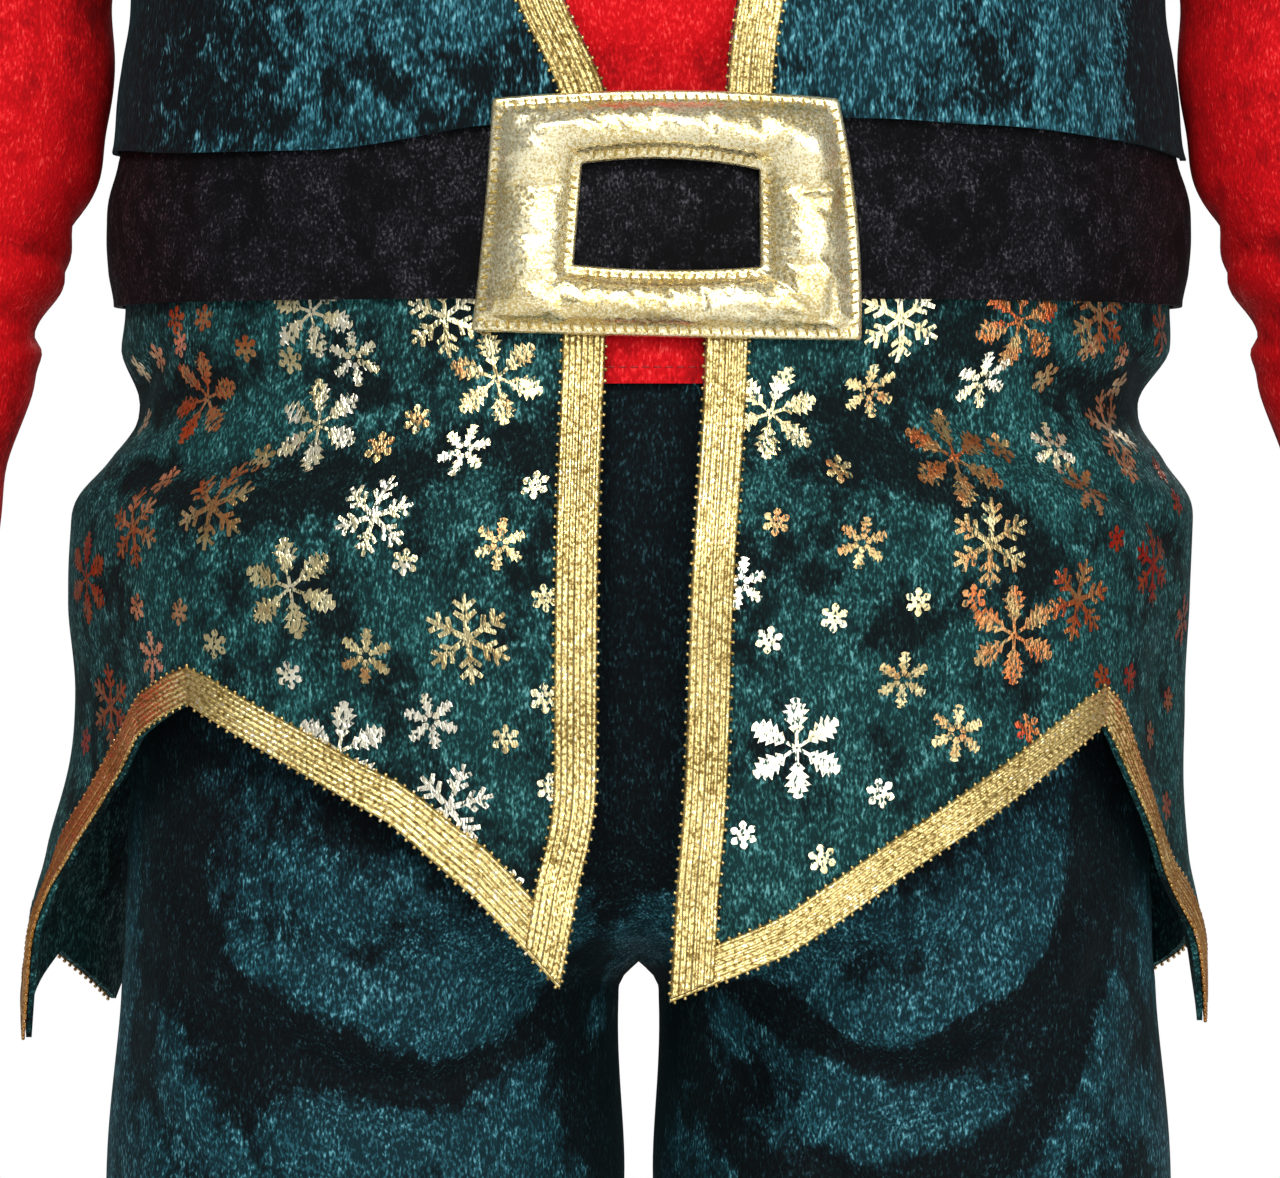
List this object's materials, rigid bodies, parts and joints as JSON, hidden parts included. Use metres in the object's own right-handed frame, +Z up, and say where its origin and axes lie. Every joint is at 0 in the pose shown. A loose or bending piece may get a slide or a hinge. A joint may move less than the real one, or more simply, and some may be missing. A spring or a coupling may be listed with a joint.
{
  "type": "baby elf costume",
  "caption": "Hollow velvet elf costume for a baby, with red sleeves and insert, a wide belt with a padded buckle, a pointed skirt edged with braid, and long trousers.",
  "frame": {"origin": "on the centre line between the shoulders, at the height of the neck, where the wearer holds the costume up", "axes": "+Z up, front towards -Y, +X to the right as seen from the front"},
  "size_m": [0.4228, 0.1947, 0.6276],
  "materials": {
    "green_velvet": "crushed velvet, soft sheen",
    "blue_velvet": "crushed velvet, soft sheen",
    "black_velvet": "crushed velvet, soft sheen",
    "red_velvet": "crushed velvet, soft sheen",
    "gold_braid": "woven metallic thread",
    "gold_lame": "metallic foil cloth, bright"
  },
  "bodies": {
    "root": {"insert_front": "red_velvet", "bodice_front_left": "green_velvet", "bodice_front_right": "green_velvet", "bodice_back": "green_velvet", "sleeve_left": "red_velvet", "sleeve_right": "red_velvet", "neck_trim_left": "gold_braid", "neck_trim_right": "gold_braid", "neck_trim_back": "gold_braid", "belt": "black_velvet", "buckle": "gold_lame", "peplum_front_left": "green_velvet", "peplum_front_right": "green_velvet", "peplum_back": "green_velvet", "opening_trim_left": "gold_braid", "opening_trim_right": "gold_braid", "hem_trim_left": "gold_braid", "hem_trim_right": "gold_braid", "hem_trim_back": "gold_braid", "trouser_front_left": "blue_velvet", "trouser_front_right": "blue_velvet", "trouser_back_left": "blue_velvet", "trouser_back_right": "blue_velvet"}
  },
  "joints": []
}
